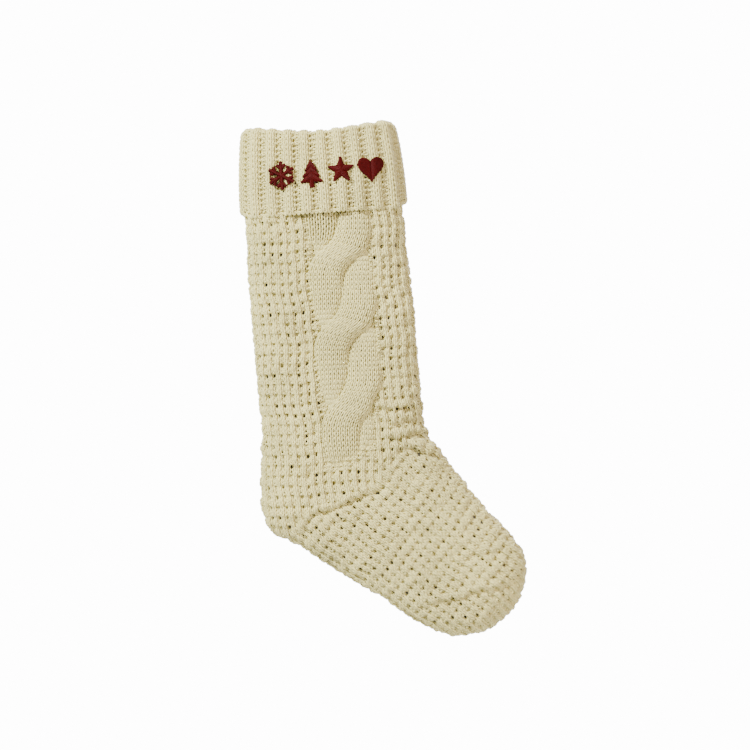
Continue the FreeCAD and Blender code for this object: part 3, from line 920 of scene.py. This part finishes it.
# -------- cable
cable_crossings = [-52.0, -112.0, -178.0, -249.0, -390.0]      # where the strands cross, from the cuff's top
strand_columns = [7, 9, 9, 9, 6]
strand_row_height = 4.3
strand_yarn_radius = 0.80
strand_loop_depth = 1.2
strand_dome = 4.9             # how far a strand stands out in its middle
strand_groove = 1.8           # how deep its edges lie
strand_over = 2.4             # how much farther out it lies where it crosses over
least_strand = 15.0           # a strand's least width, where its tip is hidden under its neighbour
strand_tilt = 6.0             # how far its rows slant at a crossing
strand_dive = 2.2             # how far its end goes down into the ground
longest_groove = 74.0
cable_middle = cuff_x + 12.0
cable_shift = 6.0             # how far the middle moves towards the toe, low on the leg
shoulder_reach = 23.0         # from the middle out to the round shoulder where a strand comes up
tip_reach = 19.0              # from the middle out to the tip where it goes under
strand_top = 48.0             # the cable starts this far below the top, under the cuff
strand_end = 26.0             # a strand sinks to the ground over this height above the panel's end
notches = ((7.0, 0.0, 10.0), (5.0, 3.0, 9.0))    # left and right: how far the cable's edge comes in at a
                                                 # crossing, how far above the crossing, over what reach
last_strand = len(cable_crossings) - 1


def between(k, z):
    """X of the groove between the strands: in over a round shoulder, down the middle and out to a tip."""
    high, low = top_z + cable_crossings[k], top_z + cable_crossings[k + 1]
    reach = 0.5 * min(high - low, longest_groove)
    t = np.clip((high - reach - z) / reach, -1.25, 1.25 if k < last_strand - 1 else 0.0)
    middle = cable_middle + cable_shift * down(240, 280, z)
    return middle + shoulder_reach * np.clip(-t, 0, 2) ** 3.4 - tip_reach * np.clip(t, 0, 2) ** 2.7


def strand_edges(k, z):
    """X of both edges of the length of strand that lies over crossing k, and how far it is over or under."""
    left = cable_side(-1, z) + 1.0
    right = cable_side(1, z) - 1.0
    for c in cable_crossings[1:-1]:
        inward = [size * np.exp(-((z - top_z - c - up) / reach) ** 2) for size, up, reach in notches]
        left = left + inward[0]
        right = right - inward[1]
    low = left if k == 0 else np.maximum(left, between(k - 1, z))
    high = right if k == last_strand else np.minimum(right, between(k, z))
    here = top_z + cable_crossings[k]
    above = top_z + cable_crossings[k - 1] if k > 0 else here + 60.0
    below = top_z + cable_crossings[k + 1] if k < last_strand else here - 60.0
    share = np.where(z > here, (z - here) / (above - here), (here - z) / (here - below))
    over = np.cos(np.pi * np.clip(share, 0, 1))
    left_edge = np.where(z > here, np.minimum(low, high - least_strand), low)
    right_edge = np.where(z > here, high, np.maximum(high, low + least_strand))
    return left_edge, right_edge, over


def strand_range(k):
    """The lowest and highest z of a length of strand, and the middle of its tilt."""
    here = top_z + cable_crossings[k]
    above = top_z - strand_top
    if k > 0:
        above = min(above, top_z + cable_crossings[k - 1] + 3.0)
    below = top_z + cable_crossings[k + 1] - 3.0 if k < last_strand - 1 else cable_end_z - 4.0
    return below, here, above


def strand_surface(k):
    """A strand's surface: domed across, higher where it crosses over, and sunk at the panel's end."""
    below, here, above = strand_range(k)
    z = np.arange(below, above, 1.0)
    tilt = strand_tilt * np.exp(-((z - here) / 12.0) ** 2) if 0 < k < last_strand else 0.0 * z
    left = strand_edges(k, z + tilt)[0]
    right = strand_edges(k, z - tilt)[1]
    over = strand_edges(k, z)[2]
    if k >= last_strand - 1:
        fading = 10.0 - cable_crossings[last_strand - 1]
        over = over * down(fading + 40.0, fading, z)
    kernel = np.hanning(9) / np.hanning(9).sum()
    padded = [np.pad(q, 4, mode="edge") for q in (left, right, over)]
    left, right, over = [np.convolve(q, kernel, mode="valid") for q in padded]
    u = np.linspace(-1, 1, 33)
    share = (u + 1) / 2
    x = left[:, None] * (1 - share) + right[:, None] * share
    zz = (z + tilt)[:, None] * (1 - share) + (z - tilt)[:, None] * share
    end = cable_end(x)
    rise = smooth(end, end + strand_end, zz) * down(66, 75, z)[:, None]
    dome = strand_dome * (1 - np.abs(u) ** 2.5) ** 0.58 - strand_groove
    lift = 0.9 - panel_sink - strand_dive * smooth(end + 14.0, end, zz)
    lift = lift + rise * (dome[None, :] + strand_over * over[:, None])
    points = np.stack([x, -(body_depth(x, zz) + lift), zz], 2)
    d = np.array([lengths(row) for row in points])
    arc = (d / d[:, -1:] - 0.5) * strand_columns[k] * stitch_width
    return Cloth(points, arc, 0.0, 1.0 / strand_row_height)


def plain(c, r):
    """Every stitch of a strand is plain."""
    return 1.0


def flat(x, z, u, v):
    """A strand has no relief apart from its own surface."""
    return 0.0


for k, count in enumerate(strand_columns):
    cloth = strand_surface(k)
    columns = np.arange(count) - count / 2 + 0.5
    yarn = YarnMesh()
    for row in range(1, int(len(cloth.points) / strand_row_height)):
        path, normal = knit_row(cloth, row, columns, stitch_width, plain, flat, depth=strand_loop_depth)
        yarn.add(path, normal, radius=strand_yarn_radius)
    yarn.build(f"cable_strand_{'ba'[k % 2]}_{k}")


# -------- embroidery
motif_size = 25.0
half_motif = motif_size / 2
thread_radius = 0.42
thread_gap = 0.66
thread_end = 0.25             # how far a thread goes past the shape's outline, and up to thread_spill farther
thread_spill = 0.2
thread_rise = 1.15
cuff_front = np.linspace(-75.0, 75.0, 151)       # places round the cuff, from the middle of its front


def bar(start, length, width, degrees):
    """The corners of a bar that starts at a point and runs at an angle."""
    a = math.radians(degrees)
    ux, uz = math.cos(a), math.sin(a)
    corners = []
    for along, aside in ((0.0, -0.5), (length, -0.5), (length, 0.5), (0.0, 0.5)):
        out = aside * width
        corners.append((start[0] + ux * along - uz * out, start[1] + uz * along + ux * out))
    return corners


def polar(radius, degrees):
    """The point at a distance and an angle from the middle."""
    return radius * math.cos(math.radians(degrees)), radius * math.sin(math.radians(degrees))


# A motif is a list of fills: corners, the direction of the threads in degrees, and how far it is raised.
def snowflake_fills():
    fills = []
    for angle in (30.0, 90.0, 150.0, 210.0, 270.0, 330.0):
        for turn in (-48.0, 48.0):
            branch = angle + turn
            corners = bar(polar(0.5 * half_motif, angle), 0.42 * half_motif, 0.16 * half_motif, branch)
            fills.append((corners, branch + 90, 0.0))
    for raised, angle in ((0.25, 30.0), (0.5, 90.0), (0.75, 150.0)):
        corners = bar(polar(-half_motif, angle), motif_size, 0.18 * half_motif, angle)
        fills.append((corners, angle + 90, raised))
    return fills


def tree_fills():
    trunk = np.array([(-0.14, -1.0), (0.14, -1.0), (0.14, -0.5), (-0.14, -0.5)])
    fills = [(trunk * half_motif, 0.0, 0.0)]
    for raised, low, high, width in ((0.3, -0.62, 0.1, 0.84), (0.6, -0.22, 0.55, 0.64), (0.9, 0.2, 1, 0.44)):
        fills.append((np.array([(-width, low), (width, low), (0.0, high)]) * half_motif, 90.0, raised))
    return fills


def star_fills():
    points = [polar(motif_size * (0.21 if i % 2 else 0.5), 90.0 + 36.0 * i) for i in range(10)]
    fills = []
    for i in range(0, 10, 2):
        tip = points[i]
        direction = math.degrees(math.atan2(tip[1], tip[0])) + 90
        fills.append(([(0, 0), points[i - 1], tip, points[i + 1]], direction, 0.0))
    return fills


def heart_fills():
    points = []
    for t in np.linspace(0, 2 * np.pi, 33):
        x = 16 * math.sin(t) ** 3
        z = 13 * math.cos(t) - 5 * math.cos(2 * t) - 2 * math.cos(3 * t) - math.cos(4 * t)
        points.append((x * half_motif / 17.5, (z + 2.5) * half_motif / 16))
    return [(points[:17], 25.0, 0.0), (points[16:], -25.0, 0.0)]


def front_of_cuff(x, z):
    """Y of the cuff's front, with its ribs half flattened by the stitching."""
    v = (z - ring.base) / row_height
    point, _ = ring.at(cuff_front, np.full(len(cuff_front), float(np.mean(v))))
    order = np.argsort(point[:, 0])
    y = np.interp(x, point[order, 0], point[order, 1])
    u = np.interp(x, point[order, 0], cuff_front[order])
    return y - 0.9 - 0.45 * rib_lift(x, z, u, v) - yarn_radius


def satin_fill(corners, degrees, raised, place, yarn):
    """Threads side by side across a polygon, each rising in its middle."""
    along = np.array(polar(1.0, degrees))
    across = np.array([-along[1], along[0]])
    s = np.array(corners) @ along
    t = np.array(corners) @ across
    for level in np.arange(t.min() + 0.3 * thread_gap, t.max(), thread_gap):
        hits = []
        for i in range(len(t)):
            if (t[i - 1] > level) != (t[i] > level):
                share = (level - t[i - 1]) / (t[i] - t[i - 1])
                hits.append(s[i - 1] + (s[i] - s[i - 1]) * share)
        hits.sort()
        for low, high in zip(hits[::2], hits[1::2]):
            if high - low < 0.3:
                continue
            low -= thread_end + rng.uniform(0, thread_spill)
            high += thread_end + rng.uniform(0, thread_spill)
            n = max(6, int((high - low) / 1.3))
            hump = np.sin(np.pi * np.linspace(0.03, 0.97, n)) ** 0.45
            thread = np.outer(np.linspace(low, high, n), along) + level * across
            thread = thread + rng.normal(0, 0.03, 2)
            x, z = (thread + place).T
            y = front_of_cuff(x, z) - 0.2 - (thread_rise + raised) * hump
            path = np.stack([x, y, z], 1)
            yarn.add(path, np.tile([0.0, -1.0, 0.0], (n, 1)), radius=thread_radius, sides=5)


motifs = {"snowflake": snowflake_fills(), "tree": tree_fills(), "star": star_fills(), "heart": heart_fills()}
for name, fills in motifs.items():
    low, high = box_mm("embroidered_" + name)
    yarn = YarnMesh()
    for corners, degrees, raised in fills:
        satin_fill(corners, degrees, raised, ((low + high) / 2)[[0, 2]], yarn)
    yarn.build("stitched_" + name)


# -------- seams
def side_seam(name, first, last):
    """The linked edge of the front and the back, along a stretch of the silhouette."""
    x, z = along_line(outline, first, last, 1.1)
    tangent = unit(np.gradient(np.stack([x, z], 1), axis=0))
    outward = np.stack([tangent[:, 1], np.zeros(len(x)), -tangent[:, 0]], 1)
    outward[edge_distance(x + outward[:, 0], z + outward[:, 2]) > 0] *= -1
    yarn = YarnMesh()
    twisted_yarns(np.stack([x, np.zeros(len(x)), z], 1) - outward, outward, 1.05, 0.85, 7.5, yarn)
    yarn.build(name)


outline_length = lengths(outline)[-1]
side_seam("heel_side_seam", 4.0, 0.40 * outline_length)
side_seam("sole_seam", 0.40 * outline_length, 0.66 * outline_length)
side_seam("toe_side_seam", 0.66 * outline_length, outline_length - 4.0)


def toe_seam():
    """The line across the toe, where it was closed."""
    line = catmull_rom(placed(toe_line), 8)
    x, z = along_line(line, 2, lengths(line)[-1] - 2, 1.0)
    y = -(body_depth(x, z) + front_relief(x, z) - 0.2)
    yarn = YarnMesh()
    twisted_yarns(np.stack([x, y, z], 1), np.tile([0.0, -1.0, 0.0], (len(x), 1)), 0.9, 0.6, 6.0, yarn)
    yarn.build("toe_seam_yarn")


toe_seam()


# -------- hanging loop
loop_low, loop_high = box_mm("hanging_loop")
tail_low, tail_high = box_mm("loop_tail")
tape_width = loop_high[1] - loop_low[1]
cords = 4                     # twisted pairs side by side in the tape
cord_pitch = 4.6
half_tape = 1.3               # half the tape's thickness


def tape(name, points):
    """A flat tape of twisted cords side by side, along a line in the XZ plane."""
    line = catmull_rom(points, 14)
    x, z = along_line(line, 0, lengths(line)[-1], 0.7)
    path = np.stack([x, np.zeros(len(x)), z], 1)
    normal = np.cross(unit(np.gradient(path, axis=0)), [0.0, 1.0, 0.0])
    yarn = YarnMesh()
    for i in range(cords):
        y = 0.94 * (i - (cords - 1) / 2) * tape_width / cords
        pitch = cord_pitch if i % 2 else -cord_pitch
        twisted_yarns(path + np.array([0, y, 0]), normal, 0.62, 0.55, pitch, yarn)
    yarn.build(name)


bend = loop_high[0] - half_tape
side_line = [(0.6, -0.5), (3.0, -4.0), (5.6, -9.0), (bend, -16.0), (bend, -32.0)]
eye = [(bend * math.sin(a), loop_low[2] + half_tape + bend - bend * math.cos(a))
       for a in np.linspace(-np.pi / 2, np.pi / 2, 9)]
down_line = [side_line[0]] + [(-x, z) for x, z in side_line[1:]]
up_line = side_line[:0:-1] + [(-0.6, -0.5)]
tape("hanging_loop_tape", down_line + eye + up_line)
tail_x = tail_low[0] + 1.2
tape("loop_tail_tape", [(tail_x, tail_low[2]), (tail_x, -12.0), (tail_x, -5.0), (tail_x + 1.2, -1.2),
                        (tail_x + 5.0, 0.0), (tail_high[0], 0.0)])


def root_winding():
    """Thread wound round the loop's ends, where they turn on the tail."""
    turns = 7
    t = np.linspace(0, 2 * np.pi * turns, turns * 18)
    y = np.linspace(0.5 - tape_width / 2, tape_width / 2 - 0.5, len(t))
    normal = np.stack([np.cos(t), np.zeros(len(t)), np.sin(t)], 1)
    yarn = YarnMesh()
    yarn.add(1.7 * normal + y[:, None] * np.array([0, 1, 0]), normal, radius=0.6)
    yarn.build("loop_root_winding")


root_winding()


def thread_loop(x_low, x_high, z, half_y, yarn):
    """A closed stitch of thread, in at one face and out at the other."""
    t = np.linspace(0, 2 * np.pi, 24, endpoint=False)
    x = (x_low + x_high) / 2 + (x_high - x_low) / 2 * np.cos(t)
    path = np.stack([x, half_y * np.sin(t), np.full(len(t), z)], 1)
    yarn.add(path, np.tile([0.0, 0.0, 1.0], (len(t), 1)), radius=0.5, closed=True)


def tacks():
    """The thread that holds the loop's tail, and the thread that keeps the cuff turned down."""
    yarn = YarnMesh()
    low, high = box_mm("loop_tack_stitches")
    for z in np.linspace(high[2] - 0.7, low[2] + 0.7, 3):
        thread_loop(low[0], high[0], z, 2.2, yarn)
    yarn.build("loop_tack_thread")
    yarn = YarnMesh()
    low, high = box_mm("cuff_tack_stitches")
    for z in (low[2] + 0.7, high[2] - 0.7):
        thread_loop(low[0] + 0.5, low[0] + 5.5, z, 1.6, yarn)
        thread_loop(high[0] - 5.5, high[0] - 0.5, z, 1.6, yarn)
    yarn.build("cuff_tack_thread")


tacks()


# -------- materials
def calculate(tree, operation, *values):
    """The output of a math node whose inputs are numbers or other nodes' outputs."""
    node = tree.nodes.new("ShaderNodeMath")
    node.operation = operation
    for i, value in enumerate(values):
        if isinstance(value, (int, float)):
            node.inputs[i].default_value = value
        else:
            tree.links.new(value, node.inputs[i])
    return node.outputs[0]


class Finish:
    """A material, with short ways to give it noise, a range of colours and a bump."""

    def __init__(self, name, roughness):
        self.material = bpy.data.materials.new(name)
        self.material.use_nodes = True
        self.tree = self.material.node_tree
        self.shader = self.tree.nodes["Principled BSDF"]
        self.shader.inputs["Roughness"].default_value = roughness

    def noise(self, scale, detail, distortion=0.0, place="Object"):
        texture = self.tree.nodes.new("ShaderNodeTexNoise")
        texture.inputs["Scale"].default_value = scale
        texture.inputs["Detail"].default_value = detail
        texture.inputs["Distortion"].default_value = distortion
        coordinates = self.tree.nodes.new("ShaderNodeTexCoord")
        self.tree.links.new(coordinates.outputs[place], texture.inputs["Vector"])
        return texture.outputs[0]

    def colours(self, share, dark, light, low=0.0, high=1.0):
        ramp = self.tree.nodes.new("ShaderNodeValToRGB")
        for element, position, colour in zip(ramp.color_ramp.elements, (low, high), (dark, light)):
            element.position = position
            element.color = (*colour, 1)
        self.tree.links.new(share, ramp.inputs[0])
        self.tree.links.new(ramp.outputs[0], self.shader.inputs["Base Color"])

    def bump(self, height, strength, distance):
        rise = self.tree.nodes.new("ShaderNodeBump")
        rise.inputs["Strength"].default_value = strength
        rise.inputs["Distance"].default_value = distance
        self.tree.links.new(height, rise.inputs["Height"])
        self.tree.links.new(rise.outputs[0], self.shader.inputs["Normal"])


def yarn_material(name, light, dark, plies=3, twist=3.2, bump=0.55, sheen=0.2, gloss=0.3):
    """Plied wool or acrylic yarn: light plies with painted shade in the lines between them, uneven from place
    to place.
    """
    finish = Finish(name, 0.52)
    tree, shader = finish.tree, finish.shader
    uv = tree.nodes.new("ShaderNodeUVMap")
    uv.uv_map = "yarn"
    split = tree.nodes.new("ShaderNodeSeparateXYZ")
    tree.links.new(uv.outputs[0], split.inputs[0])
    turn = calculate(tree, "MULTIPLY", split.outputs[0], 1.0 / twist)
    turn = calculate(tree, "ADD", turn, split.outputs[1])
    turn = calculate(tree, "MULTIPLY", turn, math.pi * plies)
    ply = calculate(tree, "ABSOLUTE", calculate(tree, "SINE", turn))
    slow = finish.noise(22.0, 3.0)
    fine = finish.noise(520.0, 2.0)
    # The colour mixes painted shade in the grooves between the plies (ply) with slow and fine random changes
    # of tone.
    share = calculate(tree, "MULTIPLY", ply, 0.55)
    share = calculate(tree, "ADD", share, calculate(tree, "MULTIPLY", slow, 0.5))
    share = calculate(tree, "ADD", share, calculate(tree, "MULTIPLY", fine, 0.5))
    finish.colours(share, dark, light, 0.35, 0.95)
    finish.bump(calculate(tree, "ADD", ply, calculate(tree, "MULTIPLY", fine, 0.6)), bump, 0.0003)
    shader.inputs["Sheen Weight"].default_value = sheen
    shader.inputs["Sheen Roughness"].default_value = 0.5
    shader.inputs["Specular IOR Level"].default_value = gloss
    return finish.material


def felt_material(name, light, dark):
    """Non-woven sheet: short pale fibres pressed flat every way."""
    finish = Finish(name, 0.9)
    fibres = finish.noise(700.0, 4.0, 3.0)
    finish.colours(fibres, dark, light, 0.3, 0.7)
    finish.bump(fibres, 0.4, 0.0002)
    return finish.material


ivory = yarn_material("ivory_yarn", (0.88, 0.785, 0.315), (0.17, 0.14, 0.032), gloss=0.6)
red = yarn_material("red_thread", (0.070, 0.0006, 0.0007), (0.024, 0.0002, 0.0003), plies=2, twist=1.2,
                    bump=0.2, sheen=0.0, gloss=0.12)
tape_yarn = yarn_material("tape_yarn", (0.84, 0.79, 0.63), (0.5, 0.45, 0.31), plies=2, twist=1.6)
# Painted shade: a near-black yarn colour, standing in for the shadow seen through the knitting's holes.
inner = yarn_material("inner_yarn", (0.11, 0.10, 0.05), (0.05, 0.045, 0.022), sheen=0.0)
felt = felt_material("white_backing_felt", (0.88, 0.88, 0.85), (0.62, 0.62, 0.58))
kinds = [
    # start of name, material, slot
    ("embroidery_backing", felt, "white_backing"),
    # The cuff's rib ground and the leg's lining take the near-black yarn as painted shade behind the holes.
    ("cuff_rib_ground", inner, "ivory_ribbing"),
    ("leg_lining", inner, "ivory_moss_knit"),
    ("stitched_", red, "red_embroidery"),
    ("cuff_tack", tape_yarn, "ivory_thread"),
    ("loop_tack", tape_yarn, "ivory_thread"),
    ("loop_root", tape_yarn, "ivory_thread"),
    ("cuff_", ivory, "ivory_ribbing"),
    ("cable_strand", ivory, "ivory_cable_knit"),
    ("hanging_loop", tape_yarn, "ivory_loop_tape"),
    ("loop_tail", tape_yarn, "ivory_loop_tape"),
    ("heel_side_seam", ivory, "ivory_seam_yarn"),
    ("sole_seam", ivory, "ivory_seam_yarn"),
    ("toe_s", ivory, "ivory_seam_yarn"),
    ("", ivory, "ivory_moss_knit"),
]
for name, thing in pieces.items():
    for start, finish, slot in kinds:
        if name.startswith(start):
            thing.data.materials.append(finish)
            break
    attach(thing, "loop" if name in ("hanging_loop_tape", "loop_root_winding") else BODY)

stands_for = {
    "cuff_edge_chain": ["cuff_bound_edge"],
    "cuff_ribbing_low": ["cuff_ribbed_band"],
    "cuff_ribbing_high": ["cuff_ribbed_band"],
    "cuff_rib_ground": ["cuff_ribbed_band"],
    "cuff_fold_ribbing": ["cuff_fold"],
    "cuff_inside_ribbing": ["cuff_inner_ribbing"],
    "leg_knit_heel_side": ["leg_front_heel_side"],
    "leg_knit_cable_ground": ["leg_front_cable_panel"],
    "leg_knit_toe_side": ["leg_front_toe_side"],
    "leg_knit_back_1": ["leg_back"],
    "leg_knit_ankle": ["heel_pocket"],
    "cable_strand_a_1": ["cable_strand_a"],
    "cable_strand_b_2": ["cable_strand_b"],
    "knit_foot": ["foot_front"],
    "back_knit_foot": ["foot_back"],
    "knit_toe": ["toe_cap"],
    "toe_seam_yarn": ["toe_seam"],
    "heel_side_seam": ["leg_heel_side_seam"],
    "toe_side_seam": ["leg_toe_side_seam"],
    "hanging_loop_tape": ["hanging_loop"],
    "loop_tail_tape": ["loop_tail"],
    "loop_tack_thread": ["loop_tack_stitches"],
    "cuff_tack_thread": ["cuff_tack_stitches"],
    "embroidery_backing_sheet": ["embroidery_backing"],
    "stitched_snowflake": ["embroidered_snowflake"],
    "stitched_tree": ["embroidered_tree"],
    "stitched_star": ["embroidered_star"],
    "stitched_heart": ["embroidered_heart"],
}
for name, nodes in stands_for.items():
    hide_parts(*nodes)


# -------- studio
backdrop_strength = 14.0      # the white behind the object, as the camera sees it
ambient_strength = 0.10       # the light that comes from all round
view_middle = Vector((0.0836, 0.0, -0.2176))     # from here on, sizes are in metres
view_width = 0.672
picture_tilt = 4.0            # how far the stocking leans in the picture, in degrees
lit_place = Vector((0.08, 0.0, -0.2))
floor_radius = 1.5
floor_drop = 0.9


def camera():
    """Straight in front, and rolled so that the stocking leans as it does in the photograph."""
    lens = bpy.data.cameras.new("camera")
    lens.lens = 100.0
    lens.sensor_width = 36.0
    eye = link("camera", lens)
    eye.location = view_middle + Vector((0, -view_width * lens.lens / lens.sensor_width, 0))
    eye.rotation_mode = "XYZ"
    eye.rotation_euler = (math.radians(90), math.radians(picture_tilt), 0)
    bpy.context.scene.camera = eye


def surroundings():
    """White behind the object for the camera, and only a little light from all round."""
    world = bpy.data.worlds.new("studio")
    world.use_nodes = True
    tree = world.node_tree
    sky = tree.nodes["Background"]
    sky.inputs[0].default_value = (1.0, 1.0, 1.0, 1)
    path = tree.nodes.new("ShaderNodeLightPath")
    extra = backdrop_strength - ambient_strength
    strength = calculate(tree, "MULTIPLY", path.outputs["Is Camera Ray"], extra)
    tree.links.new(calculate(tree, "ADD", strength, ambient_strength), sky.inputs[1])
    bpy.context.scene.world = world


def area(name, place, size, power, colour=(1.0, 1.0, 1.0)):
    """A square lamp that shines at the stocking."""
    light = bpy.data.lights.new(name, "AREA")
    light.shape = "SQUARE"
    light.size = size
    light.energy = power
    light.color = colour
    lamp = link(name, light)
    lamp.location = place
    lamp.rotation_euler = (lit_place - Vector(place)).to_track_quat("-Z", "Y").to_euler()


def floor():
    """A pale round floor, below the place where the stocking hangs."""
    mesh = bpy.data.meshes.new("floor")
    turns = np.linspace(0, 2 * np.pi, 96, endpoint=False)
    edge = [(floor_radius * math.cos(a), floor_radius * math.sin(a), -floor_drop) for a in turns]
    mesh.from_pydata(edge, [], [list(range(len(edge)))])
    thing = link("floor", mesh)
    paper = Finish("floor_paper", 0.9)
    paper.colours(paper.noise(6.0, 2.0, place="Generated"), (0.74, 0.74, 0.73), (0.80, 0.80, 0.79))
    mesh.materials.append(paper.material)


floor()
camera()
surroundings()
area("key", (-1.1, -1.1, 1.2), 0.30, 126, (0.98, 1.0, 0.95))
area("fill", (1.5, -1.3, 0.5), 0.4, 36, (1.0, 0.85, 0.80))
area("back_left", (-1.3, 1.5, 0.9), 0.8, 50)
area("back_right", (1.4, 1.6, 0.5), 0.8, 45)
